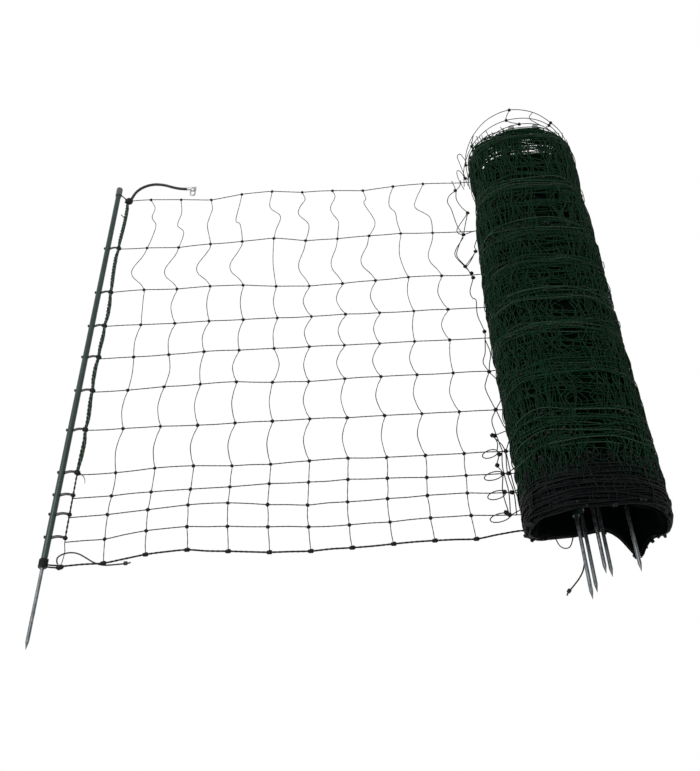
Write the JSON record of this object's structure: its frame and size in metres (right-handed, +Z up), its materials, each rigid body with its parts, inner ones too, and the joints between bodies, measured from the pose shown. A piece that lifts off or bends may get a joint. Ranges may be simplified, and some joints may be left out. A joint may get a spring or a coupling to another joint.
{
  "type": "electric poultry netting",
  "caption": "Electric poultry netting, partly unrolled: end post with spike and pegs, knotted net panel, lead with link, and the remaining net rolled round its posts.",
  "frame": {"origin": "centre of the rigid parts' bounding box, on the floor under the roll", "axes": "+Y runs along the end post and the roll from the spikes to the caps, +X runs along the strands from the end post to the roll, +Z is up from the floor"},
  "size_m": [1.2056, 1.4112, 0.1915],
  "materials": {
    "post_green": "satin drawn tube, very dark blue-green",
    "cap_grey": "moulded, pale pinkish grey",
    "spike_steel": "dark drawn steel with a bright ground point",
    "black_plastic": "moulded black",
    "black_cord": "twisted black polyethylene",
    "green_strand": "thin conductive strand, dark grey-green",
    "stay_cord": "thin twisted cord, grey-green",
    "edge_green": "twisted green and black rope",
    "connector_metal": "dark cast and wire metal",
    "net_green": "packed turns of green net",
    "net_black": "packed turns of black net"
  },
  "bodies": {
    "roll": {"roll_net_green": "net_green", "roll_net_black": "net_black", "roll_bands_green": "net_green", "roll_bands_black": "net_black", "roll_post_tubes": "post_green", "roll_post_spikes": "spike_steel", "roll_post_caps": "cap_grey", "stay_11": "stay_cord", "entry_strands": "green_strand", "loose_top_turn": "green_strand", "tail_string": "black_cord", "tail_knot": "black_cord"},
    "panel": {"strand_01": "black_cord", "strand_02": "green_strand", "strand_03": "green_strand", "strand_04": "green_strand", "strand_05": "green_strand", "strand_06": "green_strand", "strand_07": "green_strand", "strand_08": "green_strand", "strand_09": "green_strand", "strand_10": "green_strand", "strand_11": "green_strand", "strand_12": "green_strand", "stay_01": "stay_cord", "stay_02": "stay_cord", "stay_03": "stay_cord", "stay_04": "stay_cord", "stay_05": "stay_cord", "stay_06": "stay_cord", "stay_07": "stay_cord", "stay_08": "stay_cord", "stay_09": "stay_cord", "stay_10": "stay_cord", "net_knots": "black_plastic", "bottom_knots": "black_plastic", "hinge_knots": "black_plastic", "edge_knots": "black_plastic", "edge_rope_upper": "edge_green", "edge_rope_lower": "edge_green", "edge_stay_foot": "stay_cord", "top_knot": "edge_green", "foot_knot": "black_cord", "foot_cord": "black_cord", "top_tie": "black_cord", "lead_cord": "edge_green", "lead_ferrule": "connector_metal", "bottom_tie": "black_cord", "bottom_tie_knot": "black_cord", "side_loops": "black_cord"},
    "end_post": {"end_post_tube": "post_green", "end_post_cap": "cap_grey", "end_post_spike": "spike_steel", "end_post_pegs": "black_plastic", "foot_binding": "black_cord"},
    "link": {"lead_link": "connector_metal"}
  },
  "joints": [
    {"name": "net_fold", "type": "hinge", "parent": "roll", "child": "panel", "pos_m": [0.31983, -0.4945, 0.0019], "axis": [0, 1, 0], "range_deg": [0, 75]},
    {"name": "post_swing", "type": "hinge", "parent": "panel", "child": "end_post", "pos_m": [-0.56117, -0.4945, 0.0065], "axis": [0.0086, 1, 0], "range_deg": [0, 150]},
    {"name": "link_swing", "type": "hinge", "parent": "panel", "child": "link", "pos_m": [-0.38117, 0.6595, 0.0044], "axis": [-1, 0, 0], "range_deg": [0, 95]}
  ]
}
